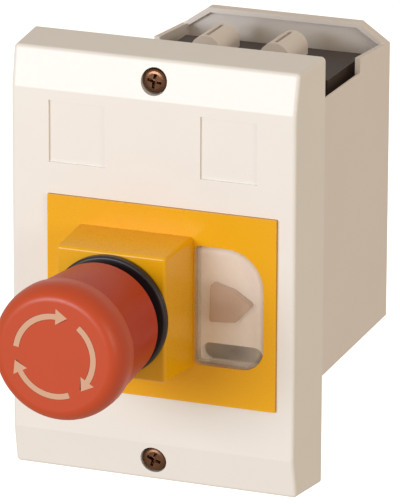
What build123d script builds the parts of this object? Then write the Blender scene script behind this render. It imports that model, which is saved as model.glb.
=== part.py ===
from build123d import *
import math
import os

os.makedirs("parts", exist_ok=True)

# Flush-mounting enclosure with a motor-protection breaker and a twist-to-release stop head.
# X to the right, Y from the operator towards the wall, Z up, millimetres.
# The origin is the middle of the frame on the plane of the panel it is let into (Y = 0).

# Front cover
cover_width = 85.0  # at the panel
cover_height = 121.0  # at the panel
cover_depth = 18.5
cover_side_taper = 1.35  # how much narrower each side is at the front
cover_end_taper = 0.9  # how much shorter each end is at the front
cover_wall = 2.5
cover_front_wall = 3.0
cover_edge_radius = 1.2
strip_height = 11.0  # the tilted strips at the two ends of the front
strip_setback = 2.3
lamp_recess_width = 16.5
lamp_recess_height = 17.4
lamp_recess_depth = 0.7
lamp_recess_x = 22.0
lamp_recess_z = 37.0

# Yellow plate with the raised block
plate_width = 66.4
plate_height = 54.2
plate_x = 2.9
plate_z = -7.7
plate_thickness = 2.0
plate_proud = 1.0
plate_gasket_thickness = 0.5
plate_band = 4.0  # how far the plate rests on the cover all round
peg_radius = 1.5
peg_inset = 2.0
block_width = 31.7
block_height = 35.2
block_proud = 18.8  # block face in front of the cover face
block_draft = 0.9
block_wall = 2.2
block_edge_radius = 1.0

# Stop head: everything turned around the head axis
head_x = -4.4
head_z = -6.4
head_reach = 57.5  # front of the cap in front of the cover face
cap_radius = 19.0
cap_length = 9.0
cap_front_radius = 15.0
cap_band_length = 2.5  # the straight part of the rim
cap_wall = 2.6
cap_rear_edge = 0.4
hub_wall = 2.2
sleeve_front_radius = 18.5
sleeve_rear_radius = 16.6
sleeve_bore_radius = 13.2
spigot_length = 5.0
collar_radius = 16.9
collar_thickness = 2.0
collar_seal_thickness = 0.5
bush_thread_radius = 11.0
bush_nose_radius = 12.5
bush_nose_length = 18.2
bush_thread_length = 15.8
nut_across_flats = 26.0
nut_height = 4.0
shaft_radius = 5.0
stop_travel = 4.0
spring_wire = 1.0
spring_radius = 9.2
spring_turns = 4
clip_radius = 7.5
clip_thickness = 1.0
arrow_radius = 11.0
arrow_stroke = 1.8
arrow_head_width = 4.4
arrow_head_span = 17.0  # degrees
arrow_span = 84.0  # degrees of the plain part
arrow_tail_angle = 172.0
arrow_depth = 0.4
arrow_count = 3

# Window and start key
window_left = 12.7
window_right = 32.7
window_bottom = -23.8
window_top = 9.9
window_big_radius = 11.0
window_low_radius = 6.2
window_small_radius = 1.6
membrane_skin = 0.8
membrane_proud = 1.0
membrane_flange = 1.6
carrier_thickness = 2.5
carrier_slot_height = 5.2  # the drain slot low in the window
carrier_slot_margin = 1.2
key_x = 22.6
key_z = -6.0
key_travel = 2.5
key_outline = [(-5.4, 5.6), (1.0, 3.9), (6.4, 0.4), (1.8, -4.8), (-5.8, -5.4)]
key_flange_width = 15.0
key_flange_height = 13.0
key_flange_thickness = 1.0

# Cover screws
screw_spacing = 107.4
screw_head_radius = 3.5
screw_head_height = 2.0
screw_shank_radius = 1.95
screw_seal_thickness = 0.6
counterbore_depth = 2.9
boss_radius = 5.5
boss_length = 3.6
post_radius = 4.6

# Rear box
box_width = 62.0
box_wall = 1.6
box_lip = 0.6  # thickness of the side walls at their low edge
box_lip_height = 3.0
box_depth = 84.0  # from the panel to the back
box_bottom_front = -42.1
box_bottom_rear = -38.7
box_low_edge = 39.5
box_high_edge_front = 43.8
box_high_edge_rear = 42.3
box_step_y = 59.5
box_back_top = 47.9
box_back_chamfer = 8.1
box_rim_width = 1.4
box_rim_proud = 2.0
flange_thickness = 2.5
flange_opening_top = 47.5
fixing_hole_radius = 2.15
fixing_hole_x = 34.7
fixing_hole_z = 44.0

# Breaker
breaker_width = 54.0
breaker_bottom = -36.0
breaker_top = 41.0
breaker_shelf_y = 44.0
breaker_split_y = 50.0
breaker_back_y = 73.9
nose_front_y = -8.0
nose_bottom = -20.0
nose_top = 25.0
pole_pitch = 18.0
pole_centre_x = -2.6
wire_entry_radius = 3.1
wire_entry_y = 60.0
wire_entry_depth = 12.0
lower_entry_depth = 7.0
shroud_left = -25.5
shroud_right = 20.5
shroud_plate = 1.2
shroud_front_y = 51.0
shroud_strip = 2.6
barrier_offset = 10.3  # from the middle pole
barrier_radius = 4.5
barrier_height = 6.4
barrier_front_y = 53.0
barrier_rear_y = 68.0
barrier_slot_width = 1.1
barrier_slot_depth = 3.0
clamp_size = 9.0
clamp_height = 6.0
clamp_bore_radius = 2.6
terminal_screw_radius = 2.0
terminal_head_radius = 3.6
terminal_head_height = 2.2
terminal_pocket_depth = 4.0
stop_button_radius = 5.0
start_button_radius = 3.2
start_button_x = 20.0
button_depth = 16.0  # inside the nose
button_spring_room = 12.0
button_wire = 0.6
button_spring_turns = 6
dial_x = 6.0
dial_z = 15.0
dial_radius = 6.0
dial_hub_radius = 2.6
dial_proud = 1.6
dial_slot_width = 1.2
dial_slot_depth = 0.9
dial_hub_length = 6.0
housing_screw_radius = 1.6
housing_screw_reach = 11.0  # into the base
housing_screw_sink = 34.0  # from the nose down to the seat of the head
housing_head_height = 1.6
housing_head_ratio = 1.8
housing_screw_x = 23.0
housing_screw_z = 14.0

# Mounting rail
rail_height = 35.0
rail_depth = 7.5
rail_thickness = 1.0
rail_waist = 25.0
rail_length = 52.0
rail_z = 2.5
rail_screw_x = 18.0
hook_reach = 1.6

# Fits
running_gap = 0.06
rest_gap = 0.3
slip_gap = 0.1

# Derived planes and sizes
front_y = -cover_depth
front_width = cover_width - 2 * cover_side_taper
front_height = cover_height - 2 * cover_end_taper
pocket_width = front_width - 2 * cover_wall
pocket_height = front_height - 2 * cover_wall
pocket_y = front_y + cover_front_wall
end_pocket_y = front_y + strip_setback + cover_wall
crease_z = front_height / 2 - strip_height
plate_front_y = front_y - plate_proud
plate_rear_y = plate_front_y + plate_thickness
recess_y = plate_rear_y + plate_gasket_thickness
block_front_y = front_y - block_proud
block_inner_y = block_front_y + block_wall
collar_rear_y = block_front_y - collar_seal_thickness
collar_front_y = collar_rear_y - collar_thickness
bush_rear_y = collar_front_y + bush_thread_length
bush_front_y = collar_front_y - bush_nose_length
head_front_y = front_y - head_reach
cap_rear_y = head_front_y + cap_length
sleeve_rear_y = collar_front_y - stop_travel - rest_gap
cap_floor_y = head_front_y + cap_wall
hub_rear_y = bush_front_y - stop_travel - rest_gap - spring_wire
shaft_front_y = cap_floor_y + rest_gap
stop_button_front_y = nose_front_y - stop_travel - 2 * rest_gap
shaft_rear_y = stop_button_front_y - rest_gap
membrane_front_y = plate_front_y - membrane_proud
carrier_front_y = plate_rear_y + membrane_skin
carrier_rear_y = carrier_front_y + carrier_thickness
key_front_y = membrane_front_y + membrane_skin + rest_gap
key_flange_y = carrier_rear_y + rest_gap
key_rear_y = key_flange_y + key_flange_thickness
start_button_front_y = key_rear_y + rest_gap
screw_z = screw_spacing / 2
counterbore_y = front_y + strip_setback * (screw_z - crease_z) / strip_height + counterbore_depth
boss_rear_y = counterbore_y + boss_length
box_inner_width = box_width - 2 * box_wall
back_inner_y = box_depth - box_wall
rail_front_y = back_inner_y - rail_depth
window_box = (window_left, window_right, window_bottom, window_top)


def block(x0, x1, y0, y1, z0, z1):
    """A box between two corners."""
    middle = Pos((x0 + x1) / 2, (y0 + y1) / 2, (z0 + z1) / 2)
    return middle * Box(x1 - x0, y1 - y0, z1 - z0)


def rod(x, z, radius, y0, y1):
    """A cylinder along Y between two depths."""
    return Pos(x, (y0 + y1) / 2, z) * Rot(90, 0, 0) * Cylinder(radius, y1 - y0)


def tube(x, z, outer, inner, y0, y1):
    """A hollow cylinder along Y."""
    return rod(x, z, outer, y0, y1) - rod(x, z, inner, y0 - 1, y1 + 1)


def upright(x, y, radius, z0, z1):
    """A cylinder along Z between two heights."""
    return Pos(x, y, (z0 + z1) / 2) * Cylinder(radius, z1 - z0)


def depth_plane(y):
    """The plane at depth y whose axes are X and Z; extruding goes towards the operator."""
    return Plane(origin=(0, y, 0), x_dir=(1, 0, 0), z_dir=(0, -1, 0))


def prism(face, y0, y1):
    """A flat outline in X and Z made solid between two depths."""
    return extrude(depth_plane(y1) * face, amount=y1 - y0)


def side_prism(points, x0, x1):
    """An outline given as (Y, Z) points made solid between two X positions."""
    plane = Plane(origin=(x0, 0, 0), x_dir=(0, 1, 0), z_dir=(1, 0, 0))
    return extrude(plane * make_face(Polyline(*points, close=True)), amount=x1 - x0)


def taper_block(x, z, width0, height0, y0, width1, height1, y1):
    """A solid with flat sides between two centred rectangles at two depths."""
    first = Plane(origin=(x, y0, z), x_dir=(1, 0, 0), z_dir=(0, 1, 0)) * Rectangle(width0, height0)
    second = Plane(origin=(x, y1, z), x_dir=(1, 0, 0), z_dir=(0, 1, 0)) * Rectangle(width1, height1)
    return loft([first, second])


def turned_face(face):
    """A solid turned around the head axis from a face drawn in (radius, depth)."""
    plane = Plane(origin=(head_x, 0, head_z), x_dir=(1, 0, 0), z_dir=(0, 0, 1))
    axis = Axis((head_x, 0, head_z), (0, 1, 0))
    return revolve(plane * face, axis, 360)


def turned(points):
    """A solid turned around the head axis from (radius, depth) points."""
    return turned_face(make_face(Polyline(*points, close=True)))


def round_corners(face, corners):
    """Round the corners nearest to the given (x, z, radius) places."""
    for x, z, radius in corners:
        nearest = sorted(face.vertices(), key=lambda v: (v.X - x) ** 2 + (v.Y - z) ** 2)
        face = fillet(nearest[:1], radius)
    return face


def window_face(grow):
    """The window outline, larger all round by grow."""
    left, right, bottom, top = window_box
    points = [
        (left - grow, bottom - grow),
        (right + grow, bottom - grow),
        (right + grow, top + grow),
        (left - grow, top + grow),
    ]
    face = make_face(Polyline(*points, close=True))
    corners = [
        (right, top, window_big_radius + grow),
        (right, bottom, window_low_radius + grow),
        (left, bottom, window_small_radius + grow),
        (left, top, window_small_radius + grow),
    ]
    return round_corners(face, corners)


def coil(x, z, radius, wire, turns, y0, y1):
    """A compression spring along Y between two end planes."""
    start = y0 + wire
    length = y1 - y0 - 2 * wire
    path = Helix(pitch=length / turns, height=length, radius=radius)
    profile = Plane(origin=path @ 0, z_dir=path % 0) * Circle(wire / 2)
    spring = sweep(profile, path=path, is_frenet=True)
    return Pos(x, start, z) * Rot(-90, 0, 0) * spring


def cross_slot(x, z, size, y0, depth):
    """The cross recess of a screw head, cut in from depth y0."""
    bars = Rectangle(size, size * 0.24) + Rectangle(size * 0.24, size)
    return prism(Pos(x, z) * bars, y0 - 0.1, y0 + depth)


def head_screw(x, z, shank, head, height, y0, length):
    """A pan-head screw pointing into the device; y0 is the seat of the head."""
    top = rod(x, z, head, y0 - height, y0)
    top = fillet(top.edges().group_by(Axis.Y)[0], height * 0.35)
    return top + rod(x, z, shank, y0, y0 + length) - cross_slot(x, z, head * 1.15, y0 - height, height * 0.6)


def front_cover():
    body = taper_block(0, 0, front_width, front_height, front_y, cover_width, cover_height, 0)
    for side in (1, -1):
        reach = front_height / 2 + cover_wall
        back = front_y + strip_setback * (reach - crease_z) / strip_height
        wedge = [(front_y - 1, side * crease_z), (front_y, side * crease_z)]
        wedge += [(back, side * reach), (front_y - 1, side * reach)]
        body -= side_prism(wedge, -cover_width, cover_width)
    body = fillet([e for e in body.edges() if e.center().Y < -1], cover_edge_radius)
    half_w = pocket_width / 2
    half_h = pocket_height / 2
    body -= block(-half_w, half_w, end_pocket_y, 1, -half_h, half_h)
    body -= block(-half_w, half_w, pocket_y, 1, -crease_z, crease_z)
    for side in (1, -1):
        body += rod(0, side * screw_z, boss_radius, end_pocket_y - 0.5, boss_rear_y)
        body -= rod(0, side * screw_z, screw_head_radius + rest_gap, front_y - 1, counterbore_y)
        body -= rod(0, side * screw_z, screw_shank_radius + slip_gap, counterbore_y - 1, boss_rear_y + 1)
        lamp = Rectangle(lamp_recess_width, lamp_recess_height)
        lamp = Pos(side * lamp_recess_x, lamp_recess_z) * lamp
        body -= prism(lamp, front_y - 1, front_y + lamp_recess_depth)
    seat_face = Pos(plate_x, plate_z) * Rectangle(plate_width + 2 * slip_gap, plate_height + 2 * slip_gap)
    body -= prism(seat_face, front_y - 1, recess_y)
    body -= prism(opening_face(), front_y - 1, pocket_y + 1)
    for x, z in peg_places():
        body -= rod(x, z, peg_radius + slip_gap, recess_y - 1, pocket_y + 1)
    return body


def opening_face():
    """The opening under the yellow plate, with room for the window flange."""
    inner = Rectangle(plate_width - 2 * plate_band, plate_height - 2 * plate_band)
    return Pos(plate_x, plate_z) * inner + window_face(membrane_flange + rest_gap)


def peg_places():
    dx = plate_width / 2 - peg_inset
    dz = plate_height / 2 - peg_inset
    return [(plate_x + sx * dx, plate_z + sz * dz) for sx in (-1, 1) for sz in (-1, 1)]


def yellow_plate():
    slab = prism(Pos(plate_x, plate_z) * Rectangle(plate_width, plate_height), plate_front_y, plate_rear_y)
    wide = block_width + 2 * block_draft
    high = block_height + 2 * block_draft
    raised = taper_block(head_x, head_z, block_width, block_height, block_front_y, wide, high, plate_front_y)
    soft = [e for e in raised.edges() if e.center().Y < plate_front_y - 0.5]
    raised = fillet(soft, block_edge_radius)
    hollow_w = block_width - 2 * block_wall
    hollow_h = block_height - 2 * block_wall
    body = slab + raised
    body -= block(
        head_x - hollow_w / 2,
        head_x + hollow_w / 2,
        block_inner_y,
        plate_rear_y + 1,
        head_z - hollow_h / 2,
        head_z + hollow_h / 2,
    )
    body -= rod(head_x, head_z, bush_thread_radius + slip_gap, block_front_y - 1, block_inner_y + 1)
    body -= prism(window_face(0), plate_front_y - 1, plate_rear_y + 1)
    for x, z in peg_places():
        body += rod(x, z, peg_radius, plate_rear_y - 0.5, pocket_y + 3)
    return body


def plate_gasket():
    outer = Rectangle(plate_width - 2 * slip_gap, plate_height - 2 * slip_gap)
    body = prism(Pos(plate_x, plate_z) * outer - opening_face(), plate_rear_y, recess_y)
    for x, z in peg_places():
        body -= rod(x, z, peg_radius + slip_gap, plate_rear_y - 1, recess_y + 1)
    return body


def peg_washers():
    places = peg_places()
    return [tube(x, z, 2.0 * peg_radius, peg_radius, pocket_y, pocket_y + 0.6) for x, z in places]


def window_membrane():
    outer = prism(window_face(-slip_gap), membrane_front_y, carrier_front_y)
    outer = fillet(outer.edges().group_by(Axis.Y)[0], 0.7)
    outer -= prism(window_face(-slip_gap - membrane_skin), membrane_front_y + membrane_skin, carrier_front_y + 1)
    flange = window_face(membrane_flange) - window_face(-slip_gap - membrane_skin)
    return outer + prism(flange, plate_rear_y, carrier_front_y)


def key_face(grow):
    points = [(key_x + x, key_z + z) for x, z in key_outline]
    face = make_face(Polyline(*points, close=True))
    face = fillet(face.vertices(), 0.8)
    return offset(face, grow) if grow else face


def key_carrier():
    body = prism(window_face(membrane_flange), carrier_front_y, carrier_rear_y)
    body -= prism(key_face(running_gap), carrier_front_y - 1, carrier_rear_y + 1)
    slot_width = window_right - window_left - 2 * carrier_slot_margin
    slot_z = window_bottom + (carrier_slot_margin + carrier_slot_height) / 2
    slot = Pos((window_left + window_right) / 2, slot_z) * SlotOverall(slot_width, carrier_slot_height)
    return body - prism(slot, carrier_front_y - 1, carrier_rear_y + 1)


def start_key():
    body = prism(key_face(0), key_front_y, key_flange_y + 0.2)
    body = fillet(body.edges().group_by(Axis.Y)[0], 0.4)
    flange = Pos(key_x, key_z) * Rectangle(key_flange_width, key_flange_height)
    return body + prism(flange, key_flange_y, key_rear_y)


def collar_ring():
    body = tube(head_x, head_z, collar_radius, bush_thread_radius + slip_gap, collar_front_y, collar_rear_y)
    outer = [e for e in body.edges().group_by(Axis.Y)[0] if e.radius > collar_radius - 1]
    return fillet(outer, 0.8)


def collar_seal():
    return tube(
        head_x, head_z, collar_radius - 1, bush_thread_radius + slip_gap, collar_rear_y, block_front_y
    )


def actuator_bush():
    body = rod(head_x, head_z, bush_nose_radius, bush_front_y, collar_front_y)
    body += rod(head_x, head_z, bush_thread_radius, collar_front_y, bush_rear_y)
    return body - rod(head_x, head_z, shaft_radius + running_gap, bush_front_y - 1, bush_rear_y + 1)


def bush_nut():
    hexagon = RegularPolygon(nut_across_flats / 2, 6, major_radius=False)
    body = prism(Pos(head_x, head_z) * Rot(0, 0, 30) * hexagon, block_inner_y, block_inner_y + nut_height)
    return body - rod(
        head_x, head_z, bush_thread_radius + slip_gap, block_inner_y - 1, block_inner_y + nut_height + 1
    )


def plunger_shaft():
    body = rod(head_x, head_z, shaft_radius, shaft_front_y, shaft_rear_y)
    groove = bush_rear_y + rest_gap
    return body - tube(head_x, head_z, shaft_radius + 1, shaft_radius - 1, groove, groove + clip_thickness)


def retaining_clip():
    groove = bush_rear_y + rest_gap
    body = tube(head_x, head_z, clip_radius, shaft_radius - 1, groove, groove + clip_thickness)
    mouth = block(
        head_x - shaft_radius / 2,
        head_x + shaft_radius / 2,
        groove - 1,
        groove + clip_thickness + 1,
        head_z - clip_radius - 1,
        head_z - shaft_radius / 2,
    )
    return body - mouth


def return_spring():
    return coil(
        head_x, head_z, spring_radius, spring_wire, spring_turns, cap_floor_y + slip_gap, bush_front_y - slip_gap
    )


def mushroom_cap():
    inner = sleeve_front_radius - cap_wall
    hub_bore = shaft_radius + running_gap
    hub_radius = shaft_radius + hub_wall
    band_y = cap_rear_y - cap_band_length
    rim = EllipticalCenterArc(
        (cap_front_radius, band_y),
        cap_radius - cap_front_radius,
        band_y - head_front_y,
        start_angle=-90,
        arc_size=90,
    )
    outside = [(cap_radius, band_y), (cap_radius, cap_rear_y), (inner, cap_rear_y), (inner, cap_floor_y)]
    inside = [(hub_radius, cap_floor_y), (hub_radius, hub_rear_y), (hub_bore, hub_rear_y), (hub_bore, cap_floor_y)]
    rest = Polyline(*outside, *inside, (0, cap_floor_y), (0, head_front_y), (cap_front_radius, head_front_y))
    body = turned_face(make_face([rim, *rest.edges()]))
    rear = body.edges().filter_by_position(Axis.Y, cap_rear_y, cap_rear_y).filter_by(GeomType.CIRCLE)
    body = fillet(rear.sort_by(SortBy.RADIUS)[-1], cap_rear_edge)
    for arrow in arrow_faces():
        body -= prism(arrow, head_front_y - 1, head_front_y + arrow_depth)
    return body


def cap_sleeve():
    spigot = sleeve_front_radius - cap_wall
    points = [
        (sleeve_bore_radius, sleeve_rear_y),
        (sleeve_rear_radius, sleeve_rear_y),
        (sleeve_front_radius, cap_rear_y),
        (spigot, cap_rear_y),
        (spigot, cap_rear_y - spigot_length),
        (sleeve_bore_radius, cap_rear_y - spigot_length),
    ]
    body = turned(points)
    return fillet([e for e in body.edges().group_by(Axis.Y)[-1] if e.radius > sleeve_bore_radius + 1], 0.8)


def polar(radius, degrees):
    angle = math.radians(degrees)
    return head_x + radius * math.cos(angle), head_z + radius * math.sin(angle)


def arrow_faces():
    """The curved arrows that show which way the head turns to let go."""
    faces = []
    for k in range(arrow_count):
        tail = arrow_tail_angle - 360 * k / arrow_count
        neck = tail - arrow_span
        tip = neck - arrow_head_span
        middle = (tail + neck) / 2
        outer = arrow_radius + arrow_stroke / 2
        inner = arrow_radius - arrow_stroke / 2
        out_arc = ThreePointArc(polar(outer, tail), polar(outer, middle), polar(outer, neck))
        in_arc = ThreePointArc(polar(inner, neck), polar(inner, middle), polar(inner, tail))
        head = Polyline(
            polar(outer, neck),
            polar(arrow_radius + arrow_head_width / 2, neck),
            polar(arrow_radius, tip),
            polar(arrow_radius - arrow_head_width / 2, neck),
            polar(inner, neck),
        )
        close = Line(polar(inner, tail), polar(outer, tail))
        faces.append(make_face([out_arc, *head.edges(), in_arc, close]))
    return faces


def cap_arrows():
    return [prism(face, head_front_y, head_front_y + arrow_depth) for face in arrow_faces()]


def cover_screws():
    screws = []
    for side in (1, -1):
        seat = counterbore_y - screw_seal_thickness
        length = -flange_thickness - seat
        screws.append(
            head_screw(0, side * screw_z, screw_shank_radius, screw_head_radius, screw_head_height, seat, length)
        )
    return screws


def screw_seals():
    seat = counterbore_y - screw_seal_thickness
    inner = screw_shank_radius + slip_gap
    return [tube(0, s * screw_z, screw_head_radius, inner, seat, counterbore_y) for s in (1, -1)]


def back_face(shrink):
    """The back wall outline with its two cut corners, smaller all round by shrink."""
    half = box_width / 2 - shrink
    top = box_back_top - shrink
    shoulder = box_high_edge_rear - shrink / 2
    points = [
        (-half, box_bottom_rear + shrink),
        (half, box_bottom_rear + shrink),
        (half, shoulder),
        (half - box_back_chamfer + shrink / 2, top),
        (-half + box_back_chamfer - shrink / 2, top),
        (-half, shoulder),
    ]
    return make_face(Polyline(*points, close=True))


def box_floor(y):
    """Height of the outside of the bottom wall at depth y."""
    share = max(0.0, y) / box_depth
    return box_bottom_front + (box_bottom_rear - box_bottom_front) * share


def rear_box():
    half = box_width / 2
    flange_half_w = pocket_width / 2 - rest_gap
    flange_half_h = pocket_height / 2 - rest_gap
    inner = box_inner_width / 2
    body = block(-flange_half_w, flange_half_w, -flange_thickness, 0, -flange_half_h, flange_half_h)
    body -= block(-inner, inner, -flange_thickness - 1, 1, box_bottom_front + box_wall, flange_opening_top)
    wall = [
        (-flange_thickness, box_floor(0)),
        (box_depth, box_floor(box_depth)),
        (box_depth, box_high_edge_rear),
        (box_step_y, box_high_edge_front),
        (box_step_y, box_low_edge),
        (-flange_thickness, box_low_edge),
    ]
    for x0 in (-half, inner):
        body += side_prism(wall, x0, x0 + box_wall)
    for side in (1, -1):
        lip = [
            (side * (inner - 1), box_low_edge - box_lip_height),
            (side * inner, box_low_edge - box_lip_height),
            (side * (half - box_lip), box_low_edge),
            (side * (half - box_lip), box_low_edge + 1),
            (side * (inner - 1), box_low_edge + 1),
        ]
        body -= prism(make_face(Polyline(*lip, close=True)), rest_gap, box_step_y)
    floor = [
        (-flange_thickness, box_floor(0)),
        (box_depth, box_floor(box_depth)),
        (box_depth, box_floor(box_depth) + box_wall),
        (-flange_thickness, box_floor(0) + box_wall),
    ]
    body += side_prism(floor, -half, half)
    body += prism(back_face(0), back_inner_y, box_depth)
    rim = back_face(0) - back_face(box_rim_width)
    rim &= Pos(0, box_back_top) * Rectangle(2 * box_width, 2 * (box_back_top - box_high_edge_rear + 1.5))
    body += prism(rim, back_inner_y - box_rim_proud, back_inner_y + 0.1)
    for side in (1, -1):
        post = rod(0, side * screw_z, post_radius, boss_rear_y + rest_gap, -flange_thickness + 0.1)
        body += post & block(-half, half, boss_rear_y, 0, -flange_half_h, flange_half_h)
        body -= rod(0, side * screw_z, screw_shank_radius + slip_gap, boss_rear_y - 1, 1)
        body -= rod(side * rail_screw_x, rail_z, screw_shank_radius + slip_gap, back_inner_y - 1, box_depth + 1)
        for x in (-fixing_hole_x, fixing_hole_x):
            body -= rod(x, side * fixing_hole_z, fixing_hole_radius, -flange_thickness - 1, 1)
    return body


def din_rail():
    half = rail_height / 2
    waist = rail_waist / 2
    t = rail_thickness
    front = rail_front_y
    back = back_inner_y
    points = [(front, half), (front + t, half), (front + t, waist + t), (back, waist + t), (back, -waist - t)]
    points += [(front + t, -waist - t), (front + t, -half), (front, -half), (front, -waist)]
    points += [(back - t, -waist), (back - t, waist), (front, waist)]
    points = [(y, z + rail_z) for y, z in points]
    body = side_prism(points, -rail_length / 2, rail_length / 2)
    for side in (1, -1):
        body -= rod(side * rail_screw_x, rail_z, screw_shank_radius + slip_gap, front - 1, back + 1)
    return body


def rail_screws():
    seat = back_inner_y - rail_thickness
    args = (screw_shank_radius, screw_head_radius, screw_head_height, seat, rail_thickness + box_wall)
    return [head_screw(s * rail_screw_x, rail_z, *args) for s in (1, -1)]


def pole_places():
    return [pole_centre_x + k * pole_pitch for k in (-1, 0, 1)]


def breaker_base():
    half = breaker_width / 2
    body = block(-half, half, breaker_split_y, breaker_back_y, breaker_bottom, breaker_top)
    for x in pole_places():
        body -= upright(x, wire_entry_y, wire_entry_radius, breaker_top - wire_entry_depth, breaker_top + 1)
        body -= upright(
            x, wire_entry_y, wire_entry_radius, breaker_bottom - 1, breaker_bottom + lower_entry_depth
        )
        for z in terminal_heights():
            body -= clamp_room(x, z)
            body -= rod(x, z, terminal_screw_radius + slip_gap, breaker_split_y - 1, wire_entry_y)
    over = rail_z + rail_height / 2 + rest_gap
    under = rail_z - rail_height / 2 - rest_gap
    lip_y = rail_front_y + rail_thickness + rest_gap
    for wall, lip in ((over, -hook_reach), (under, hook_reach)):
        away = 3.0 if lip < 0 else -3.0
        low, high = sorted((wall, wall + away))
        body += block(-half, half, breaker_back_y - 0.5, lip_y + 2, low, high)
        low, high = sorted((wall + lip, wall + away))
        body += block(-half, half, lip_y, lip_y + 2, low, high)
    for x, z in housing_screw_places():
        end = breaker_split_y + housing_screw_reach + 1
        body -= rod(x, z, housing_screw_radius + slip_gap, breaker_split_y - 1, end)
    return body


def terminal_shroud():
    """A light strip on top of the breaker with a hollow barrier each side of the middle pole."""
    top = breaker_top + shroud_plate
    body = block(shroud_left, shroud_right, shroud_front_y, shroud_front_y + shroud_strip, breaker_top, top)
    for side in (-1, 1):
        x = pole_centre_x + side * barrier_offset
        crown_z = breaker_top + barrier_height - barrier_radius
        left = x - barrier_radius
        right = x + barrier_radius
        body += block(left, right, barrier_front_y, barrier_rear_y, breaker_top, crown_z)
        crown = rod(x, crown_z, barrier_radius, barrier_front_y, barrier_rear_y)
        body += crown & block(left, right, barrier_front_y, barrier_rear_y, crown_z - 1, crown_z + barrier_radius)
        slot_z = breaker_top + barrier_height - barrier_slot_depth
        slot_x = x - barrier_slot_width / 2
        slot_front = barrier_front_y + shroud_plate
        slot_rear = barrier_rear_y - shroud_plate
        body -= block(slot_x, slot_x + barrier_slot_width, slot_front, slot_rear, slot_z, slot_z + barrier_height)
    return body


def terminal_heights():
    return [breaker_top - 8.0, breaker_bottom + 8.0]


def clamp_room(x, z):
    half = clamp_size / 2 + slip_gap
    high = clamp_height / 2 + slip_gap
    return block(x - half, x + half, wire_entry_y - half, wire_entry_y + half, z - high, z + high)


def terminal_clamps():
    half = clamp_size / 2
    cages = []
    for x in pole_places():
        for z in terminal_heights():
            low = z - clamp_height / 2
            high = z + clamp_height / 2
            cage = block(x - half, x + half, wire_entry_y - half, wire_entry_y + half, low, high)
            cage -= upright(x, wire_entry_y + 0.8, clamp_bore_radius, low - 1, high + 1)
            cage -= rod(x, z, terminal_screw_radius + slip_gap, wire_entry_y - half - 1, wire_entry_y)
            cages.append(cage)
    return cages


def terminal_screws():
    seat = breaker_shelf_y + terminal_pocket_depth
    length = wire_entry_y - clamp_size / 2 + 1.0 - seat
    args = (terminal_screw_radius, terminal_head_radius, terminal_head_height, seat, length)
    return [head_screw(x, z, *args) for x in pole_places() for z in terminal_heights()]


def housing_screw_places():
    return [(sx * housing_screw_x, rail_z + sz * housing_screw_z) for sx in (-1, 1) for sz in (-1, 1)]


def breaker_cover():
    half = breaker_width / 2
    body = block(-half, half, breaker_shelf_y, breaker_split_y, breaker_bottom, breaker_top)
    body += block(-half, half, nose_front_y, breaker_shelf_y + 1, nose_bottom, nose_top)
    body = fillet([e for e in body.edges() if abs(e.center().Y - nose_front_y) < 0.1], 1.0)
    for x in pole_places():
        for z in terminal_heights():
            pocket_end = breaker_shelf_y + terminal_pocket_depth
            body -= rod(x, z, terminal_head_radius + rest_gap, breaker_shelf_y - 1, pocket_end)
            body -= rod(x, z, terminal_screw_radius + slip_gap, breaker_shelf_y, breaker_split_y + 1)
    end = nose_front_y + button_depth + button_spring_room
    body -= rod(head_x, head_z, stop_button_radius + running_gap, nose_front_y - 1, end)
    body -= rod(start_button_x, head_z, start_button_radius + running_gap, nose_front_y - 1, end)
    body -= rod(dial_x, dial_z, dial_hub_radius + running_gap, nose_front_y - 1, nose_front_y + dial_hub_length)
    for x, z in housing_screw_places():
        seat = nose_front_y + housing_screw_sink
        body -= rod(x, z, housing_screw_radius + slip_gap, seat, breaker_split_y + 1)
        body -= rod(x, z, 2 * housing_screw_radius, nose_front_y - 1, seat)
    return body


def housing_screws():
    seat = nose_front_y + housing_screw_sink
    head = housing_head_ratio * housing_screw_radius
    length = breaker_split_y + housing_screw_reach - seat
    args = (housing_screw_radius, head, housing_head_height, seat, length)
    return [head_screw(x, z, *args) for x, z in housing_screw_places()]


def push_button(x, radius, front):
    body = rod(x, head_z, radius, front, nose_front_y + button_depth)
    return fillet(body.edges().group_by(Axis.Y)[0], 0.5)


def stop_button():
    return push_button(head_x, stop_button_radius, stop_button_front_y)


def start_button():
    return push_button(start_button_x, start_button_radius, start_button_front_y)


def button_spring(x, radius):
    start = nose_front_y + button_depth
    mean = radius - button_wire
    return coil(
        x, head_z, mean, button_wire, button_spring_turns, start + slip_gap, start + button_spring_room - slip_gap
    )


def setting_dial():
    body = rod(dial_x, dial_z, dial_radius, nose_front_y - dial_proud - rest_gap, nose_front_y - rest_gap)
    body += rod(dial_x, dial_z, dial_hub_radius, nose_front_y - rest_gap, nose_front_y + dial_hub_length - rest_gap)
    slot = Pos(dial_x, dial_z) * Rectangle(dial_slot_width, 1.6 * dial_radius)
    front = nose_front_y - dial_proud - rest_gap
    return body - prism(slot, front - 1, front + dial_slot_depth)


def grouped(solids):
    return Compound(children=list(solids))


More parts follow.
